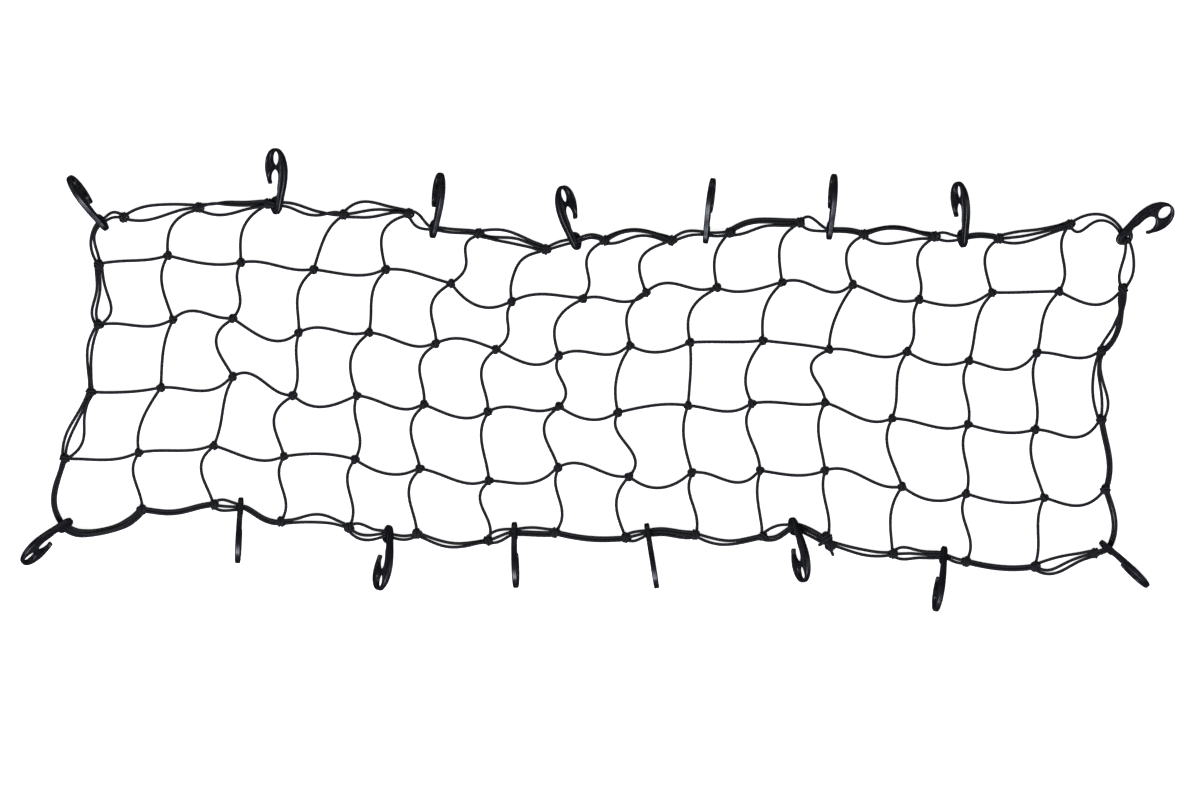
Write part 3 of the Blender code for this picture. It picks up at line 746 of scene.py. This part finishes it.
def stray(share, bow):
    # a smooth line that starts and ends at nought and passes the given strays, evenly spaced
    stations = (0.0, *bow, 0.0)
    last = len(stations) - 1
    total = 0.0
    for index, value in enumerate(stations):
        weight = value
        for other in range(last + 1):
            if other != index:
                weight *= (share * last - other) / (index - other)
        total += weight
    return total


def ease(share):
    share = min(max(share, 0.0), 1.0)
    return 1 - share * share * (3 - 2 * share)


def steer(start, finish, bow, across, startLeg, finishLeg, startAside=Vector(), finishAside=Vector()):
    # points that a cord passes on its way from one stop to the next
    sideways = Vector((0, -sheet["square"], 0)) if across else Vector((sheet["square"], 0, 0))
    run = finish - start
    count = max(3, round(run.length / cordForm["lay"]))
    low = cordForm["radius"]
    points = []
    for index in range(count + 1):
        share = index / count
        point = start + run * share + sideways * stray(share, bow)
        fromStart = (start.z - low) * ease(share * run.length / startLeg)
        fromFinish = (finish.z - low) * ease((1 - share) * run.length / finishLeg)
        point.z = low + max(fromStart, 0) + max(fromFinish, 0)
        point += startAside * ease(share * run.length / cordForm["fanOut"])
        point += finishAside * ease((1 - share) * run.length / cordForm["fanOut"])
        points.append(point)
    return points


def smoothPath(points, step):
    # a curve through all the points, cut into even steps
    padded = [points[0] * 2 - points[1], *points, points[-1] * 2 - points[-2]]
    fine = []
    for before, here, there, after in zip(padded, padded[1:], padded[2:], padded[3:]):
        pieces = max(2, math.ceil((there - here).length / step * 3))
        for index in range(pieces):
            t = index / pieces
            fine.append(
                (
                    here * 2
                    + (there - before) * t
                    + (before * 2 - here * 5 + there * 4 - after) * t**2
                    + (here * 3 - before - there * 3 + after) * t**3
                )
                / 2
            )
    fine.append(points[-1].copy())
    lengths = [0.0]
    for here, there in zip(fine, fine[1:]):
        lengths.append(lengths[-1] + (there - here).length)
    count = max(2, round(lengths[-1] / step))
    even, place = [], 0
    for index in range(count + 1):
        wanted = lengths[-1] * index / count
        while place < len(lengths) - 2 and lengths[place + 1] < wanted:
            place += 1
        span = lengths[place + 1] - lengths[place]
        even.append(fine[place].lerp(fine[place + 1], (wanted - lengths[place]) / span if span else 0))
    return even


def knotSpot(name):
    return onSheet(*knots[name], cordForm["knotHeight"])


def layMeshCords():
    paths = []
    top = [(x, y, None, below) for x, y, below in topEdge]
    leg = cordForm["knotLeg"]
    for rowNumber, row in enumerate([top, *rows]):
        for number, (_, _, right, below) in enumerate(row):
            here = knotSpot(knotName(rowNumber, number))
            if right is not None:
                there = knotSpot(knotName(rowNumber, number + 1))
                paths.append(steer(here, there, right, True, leg, leg))
            if below is not None:
                there = knotSpot(knotName(rowNumber + 1, number))
                paths.append(steer(here, there, below, False, leg, leg))
    return [smoothPath(points, cordForm["step"]) for points in paths]


def stopSpot(name):
    if name in hookPoses:
        return hookPoses[name] @ eyeCentre
    return knotSpot(name)


def endOfCord(name, toward, order, count, bowSide):
    # where the cords meet a knot or come out of an eye, and how far aside of that each one lies
    offset = (order - (count - 1) / 2) * cordForm["sideBySide"]
    if name in hookPoses:
        axes = hookPoses[name].to_3x3()
        through = axes.col[2].normalized()
        upHook = axes.col[0].normalized()
        if through.dot(toward - stopSpot(name)) < 0:
            through = -through
        if upHook.dot(bowSide) < 0:
            offset = -offset
        return stopSpot(name) + through * cordForm["eyeSpan"], upHook * offset
    return knotSpot(name), bowSide * offset * 0.9


def layEdgeCords():
    # every cord runs from knot to knot, and passes through the eye of each hook on its way
    whole, atEyes = [], {}
    for edge, stops in edges.items():
        across = edge in ("top", "bottom")
        for (here, bows), (there, _) in zip(stops, stops[1:]):
            start, finish = stopSpot(here), stopSpot(there)
            run = finish - start
            bowSide = Vector((0, -1, 0)) if across else Vector((1, 0, 0))
            bowSide = (bowSide - run.normalized() * bowSide.dot(run.normalized())).normalized()
            for order, bow in enumerate(bows):
                first, firstAside = endOfCord(here, finish, order, len(bows), bowSide)
                last, lastAside = endOfCord(there, start, order, len(bows), bowSide)
                legs = [cordForm["eyeLeg" if stop in hookPoses else "knotLeg"] for stop in (here, there)]
                points = steer(first, last, bow, across, *legs, firstAside, lastAside)
                if here in hookPoses:
                    atEyes.setdefault(here, []).append(points[::-1])
                if there in hookPoses:
                    atEyes.setdefault(there, []).append(points)
                if here not in hookPoses and there not in hookPoses:
                    whole.append(points)
    for name, cords in atEyes.items():
        axes = hookPoses[name].to_3x3()
        through, upHook = axes.col[2], axes.col[0]
        middle = stopSpot(name)
        sides = {-1: [], 1: []}
        for points in cords:
            sides[1 if through.dot(points[-1] - middle) > 0 else -1].append(points)
        for side in sides.values():
            side.sort(key=lambda points: upHook.dot(points[-1] - middle))
        while sides[-1] and sides[1]:
            incoming, outgoing = sides[-1].pop(), sides[1].pop()
            whole.append(incoming + outgoing[::-1])
        for side in (-1, 1):
            for points in sides[side]:
                whole.append(points + [middle + upHook * upHook.dot(points[-1] - middle)])
    return [smoothPath(points, cordForm["step"]) for points in whole]


def settle(paths):
    # nudges cords apart that share a place, one over the other where they run together,
    # off the hooks outside the eyes and up off the floor
    radius = cordForm["radius"]
    gap = 2 * radius
    centres = [knotSpot(name) for name in knots]
    inKnot = KDTree(len(centres))
    for index, centre in enumerate(centres):
        inKnot.insert(centre, index)
    inKnot.balance()
    inEye = KDTree(len(hookTrees))
    for index, (eye, _) in enumerate(hookTrees):
        inEye.insert(eye, index)
    inEye.balance()
    owners, spots, fixed = [], [], []
    for owner, path in enumerate(paths):
        for place, point in enumerate(path):
            owners.append(owner)
            spots.append(point.copy())
            inAnyKnot = inKnot.find(point)[2] < cordForm["heldInKnot"]
            held = inAnyKnot or inEye.find(point)[2] < cordForm["heldInEye"]
            fixed.append(held or place in (0, len(path) - 1))
    nearHook = []
    for point in spots:
        nearHook.append([tree for eye, tree in hookTrees if (point - eye).length < cordForm["nearHook"]])
    for _ in range(cordForm["rounds"]):
        tree = KDTree(len(spots))
        for index, spot in enumerate(spots):
            tree.insert(spot, index)
        tree.balance()
        moved = [spot.copy() for spot in spots]
        for index, spot in enumerate(spots):
            if fixed[index]:
                continue
            push = Vector()
            for other, otherIndex, distance in tree.find_range(spot, gap):
                if owners[otherIndex] != owners[index] and distance > 0:
                    away = (spot - other) / distance
                    if (away * distance).xy.length < gap * cordForm["stackedWithin"]:
                        lean = cordForm["stackLean"]
                        upward = 1.0 if owners[index] > owners[otherIndex] else -1.0
                        away = Vector((away.x * lean, away.y * lean, upward))
                    push += away.normalized() * (gap - distance) * cordForm["give"]
            moved[index] += push
            for hookTree in nearHook[index]:
                spotOn, normal, _, distance = hookTree.find_nearest(moved[index])
                if (moved[index] - spotOn).dot(normal) < 0:
                    distance = -distance
                if distance < radius:
                    moved[index] += normal * min(radius - distance, cordForm["nudge"])
        # keep each cord fair
        for index in range(1, len(spots) - 1):
            if fixed[index] or owners[index - 1] != owners[index] or owners[index + 1] != owners[index]:
                spots[index] = moved[index]
                continue
            spots[index] = moved[index].lerp((moved[index - 1] + moved[index + 1]) / 2, cordForm["fairing"])
            spots[index].z = max(spots[index].z, radius)
    settled, place = [], 0
    for path in paths:
        settled.append(spots[place : place + len(path)])
        place += len(path)
    return settled


def makeTubeTree():
    # a round tube on each curve, which remembers how far round and how far along each corner is
    tree = bpy.data.node_groups.new("cordTube", "GeometryNodeTree")
    face = tree.interface
    face.new_socket("Cords", in_out="INPUT", socket_type="NodeSocketGeometry")
    sides = face.new_socket("Sides", in_out="INPUT", socket_type="NodeSocketInt")
    finish = face.new_socket("Finish", in_out="INPUT", socket_type="NodeSocketMaterial")
    face.new_socket("Tubes", in_out="OUTPUT", socket_type="NodeSocketGeometry")
    add, join = tree.nodes.new, tree.links.new
    given = add("NodeGroupInput")
    span = add("GeometryNodeSplineParameter")
    alongCord = add("GeometryNodeCaptureAttribute")
    alongCord.capture_items.new("FLOAT", "Along")
    ring = add("GeometryNodeCurveArc")
    ring.mode = "RADIUS"
    ring.inputs["Radius"].default_value = 1.0
    ring.inputs["Sweep Angle"].default_value = math.tau
    onePlus = add("ShaderNodeMath")
    onePlus.inputs[1].default_value = 1
    join(given.outputs["Sides"], onePlus.inputs[0])
    join(onePlus.outputs[0], ring.inputs["Resolution"])
    aroundCord = add("GeometryNodeCaptureAttribute")
    aroundCord.capture_items.new("FLOAT", "Around")
    join(given.outputs["Cords"], alongCord.inputs["Geometry"])
    join(span.outputs["Length"], alongCord.inputs["Along"])
    join(ring.outputs["Curve"], aroundCord.inputs["Geometry"])
    join(span.outputs["Factor"], aroundCord.inputs["Around"])
    thick = add("GeometryNodeInputRadius")
    sweep = add("GeometryNodeCurveToMesh")
    join(alongCord.outputs["Geometry"], sweep.inputs["Curve"])
    join(aroundCord.outputs["Geometry"], sweep.inputs["Profile Curve"])
    join(thick.outputs[0], sweep.inputs["Scale"])
    pair = add("ShaderNodeCombineXYZ")
    join(aroundCord.outputs["Around"], pair.inputs[0])
    join(alongCord.outputs["Along"], pair.inputs[1])
    weave = add("GeometryNodeStoreNamedAttribute")
    weave.data_type = "FLOAT_VECTOR"
    weave.domain = "CORNER"
    weave.inputs["Name"].default_value = "weave"
    join(sweep.outputs["Mesh"], weave.inputs["Geometry"])
    join(pair.outputs[0], weave.inputs["Value"])
    seam = add("GeometryNodeMergeByDistance")
    seam.inputs["Distance"].default_value = 0.000002
    join(weave.outputs["Geometry"], seam.inputs["Geometry"])
    shade = add("GeometryNodeSetShadeSmooth")
    join(seam.outputs["Geometry"], shade.inputs["Geometry"])
    realize = add("GeometryNodeRealizeInstances")
    join(shade.outputs["Geometry"], realize.inputs["Geometry"])
    paint = add("GeometryNodeSetMaterial")
    join(realize.outputs["Geometry"], paint.inputs["Geometry"])
    join(given.outputs["Finish"], paint.inputs["Material"])
    result = add("NodeGroupOutput")
    join(paint.outputs["Geometry"], result.inputs["Tubes"])
    return tree, sides.identifier, finish.identifier


tubeTree, sidesInput, finishInput = makeTubeTree()


def withEnds(path, radius):
    # a rounded end at each end of an open cord, as points with radii
    rounding = ((-0.45, 0.0), (-0.33, 0.55), (0.0, 0.92))
    points = [(point, radius) for point in path]
    for index, step in ((0, 1), (-1, -1)):
        tip = path[index]
        inward = (path[index + step] - tip).normalized()
        cap = [(tip + inward * out * radius, radius * size) for out, size in rounding]
        if index == 0:
            points = cap + points[1:]
        else:
            points = points[:-1] + cap[::-1]
    return points


def makeTubes(name, cords, radius, closed=False):
    curve = bpy.data.curves.new(name, "CURVE")
    curve.dimensions = "3D"
    for cord in cords:
        points = [(point, radius) for point in cord] if closed else withEnds(cord, radius)
        spline = curve.splines.new("POLY")
        spline.points.add(len(points) - 1)
        for control, (point, size) in zip(spline.points, points):
            control.co = (*point, 1)
            control.radius = size
        spline.use_cyclic_u = closed
    carrier = addPiece(name, curve)
    tubes = carrier.modifiers.new("tubes", "NODES")
    tubes.node_group = tubeTree
    tubes[sidesInput] = cordForm["sides"]
    tubes[finishInput] = sheathMaterial
    mesh = finished(carrier, name)
    bpy.data.curves.remove(curve)
    piece = addPiece(name, mesh)
    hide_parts("net")
    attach(piece, "root")
    print(name, "has", len(mesh.polygons), "faces")
    return piece


meshCords = layMeshCords()
edgeCords = layEdgeCords()
settled = settle(meshCords + edgeCords)
makeTubes("meshCords", settled[: len(meshCords)], cordForm["radius"])
makeTubes("edgeCords", settled[len(meshCords) :], cordForm["radius"])

knotForm = {
    "inner": 0.00138,  # radius of the drawn-down cord in a knot of the meshes
    "edge": 0.00150,
    "closing": 0.00165,
    "points": 72,
    "wrapPoints": 20,
    "closingLumps": ((830.3, 544.6), (826.3, 536.6)),  # two lumps, one tied after the other
    "seed": 7,
}


def tiedLump(centre, radius, turn, flip, stretch):
    # cord drawn up tight as an overhand knot: it winds three times round while it goes twice about
    points = []
    for index in range(knotForm["points"]):
        angle = math.tau * index / knotForm["points"]
        out = radius * (2.05 + 1.0 * math.cos(3 * angle))
        along = out * math.cos(2 * angle) * stretch
        across = out * math.sin(2 * angle) * flip
        place = Vector((along, across, radius * 1.02 * math.sin(3 * angle)))
        points.append(Matrix.Rotation(turn, 3, "Z") @ place + centre)
    return points


def wrapOver(centre, reach, rise, turn, slip):
    # the crossing cord, where it goes over the lump and tucks in on both sides
    points = []
    for index in range(knotForm["wrapPoints"]):
        angle = math.pi * (index / (knotForm["wrapPoints"] - 1) * 1.16 - 0.08)
        place = Vector((slip, -reach * math.cos(angle), rise * math.sin(angle)))
        points.append(Matrix.Rotation(turn, 3, "Z") @ place + centre)
    return points


def edgeTurn(name):
    # which way the edge runs at one of its knots
    for stops in edges.values():
        names = [stop for stop, _ in stops]
        if name in names:
            place = names.index(name)
            run = stopSpot(names[place + 1]) - stopSpot(names[place - 1])
            return math.atan2(run.y, run.x)
    return 0.0


def makeKnots():
    chance = random.Random(knotForm["seed"])
    loops = {"inner": [], "edge": [], "closing": []}
    wraps = {"inner": [], "edge": [], "closing": []}
    for name in knots:
        inner = name.startswith("N")
        kind = "inner" if inner else "closing" if name == closingKnot else "edge"
        radius = knotForm[kind]
        turn = edgeTurn(name) + chance.uniform(-0.35, 0.35)
        centre = onSheet(*knots[name], radius * 2.05)
        stretch = chance.uniform(0.94, 1.06) if inner else 1.1
        lumps = [centre]
        if kind == "closing":
            lumps = [onSheet(x, y, radius * 2.05) for x, y in knotForm["closingLumps"]]
        for lump in lumps:
            lumpTurn = turn + chance.choice((0, math.pi))
            flip = chance.choice((-1, 1))
            loops[kind].append(tiedLump(lump, radius, lumpTurn, flip, stretch))
            wrapTurn = turn + chance.uniform(-0.5, 0.5)
            slips = (0.0,) if inner else (-radius * 1.05, radius * 1.05)
            under = lump - Vector((0, 0, radius * 0.4))
            for slip in slips:
                wraps[kind].append(wrapOver(under, radius * 3.1, radius * 2.7, wrapTurn, slip))
    for kind in loops:
        makeTubes(f"{kind}Knots", loops[kind], knotForm[kind], closed=True)
        makeTubes(f"{kind}Wraps", wraps[kind], knotForm[kind])


makeKnots()

cutEnds = {
    # where the two cut ends of the closing knot start and stop, on the sheet
    "paths": (((828, 546), (831, 550.5), (833.3, 555)), ((824, 541), (821, 543.6), (818.6, 544.6))),
    "height": 0.0019,
}


def makeCutEnds():
    cords = []
    for path in cutEnds["paths"]:
        points = [onSheet(x, y, cutEnds["height"]) for x, y in path]
        cords.append(smoothPath(points, 0.001))
    makeTubes("cutEnds", cords, cordForm["radius"])


makeCutEnds()

studio = {
    "paper": (0.9, 0.9, 0.9, 1),
    "glow": 0.9,
    "sky": 0.05,
    # place, size across and up, power, colour
    "front": ((-0.4, -1.9, 2.7), (2.4, 0.9), 112.0, (0.83, 0.86, 1.0)),
    "back": ((-0.4, 3.2, 1.6), (2.4, 0.5), 8.0, (0.92, 0.96, 1.0)),
    "left": ((-3.2, 0.2, 1.6), (1.8, 0.5), 9.0, (0.92, 0.96, 1.0)),
    "right": ((3.2, -0.3, 1.6), (1.8, 0.5), 9.0, (0.92, 0.96, 1.0)),
}


def makeFloor():
    shape = bmesh.new()
    bmesh.ops.create_grid(shape, x_segments=1, y_segments=1, size=6)
    mesh = bpy.data.meshes.new("floor")
    shape.to_mesh(mesh)
    shape.free()
    material, _, shader = newMaterial("paper")
    shader.inputs["Base Color"].default_value = studio["paper"]
    shader.inputs["Roughness"].default_value = 0.9
    shader.inputs["Emission Color"].default_value = (1, 1, 1, 1)
    shader.inputs["Emission Strength"].default_value = studio["glow"]
    mesh.materials.append(material)
    floor = addPiece("floor", mesh)
    floor.location.z = -0.0002
    floor.visible_glossy = False  # the black hooks mirror no paper


def addPanel(name):
    place, size, power, colour = studio[name]
    data = bpy.data.lights.new(name, "AREA")
    data.shape = "RECTANGLE"
    data.size, data.size_y = size
    data.energy = power
    data.color = colour
    panel = bpy.data.objects.new(name, data)
    bpy.context.scene.collection.objects.link(panel)
    panel.location = place
    panel.rotation_euler = (-Vector(place)).to_track_quat("-Z", "Y").to_euler()


def makeLights():
    world = bpy.data.worlds.new("studio")
    world.use_nodes = True
    background = world.node_tree.nodes["Background"]
    background.inputs["Color"].default_value = (1, 1, 1, 1)
    background.inputs["Strength"].default_value = studio["sky"]
    bpy.context.scene.world = world
    for name in ("front", "back", "left", "right"):
        addPanel(name)


makeFloor()
makeLights()
bpy.context.scene.view_settings.view_transform = "Standard"

print("scene made")
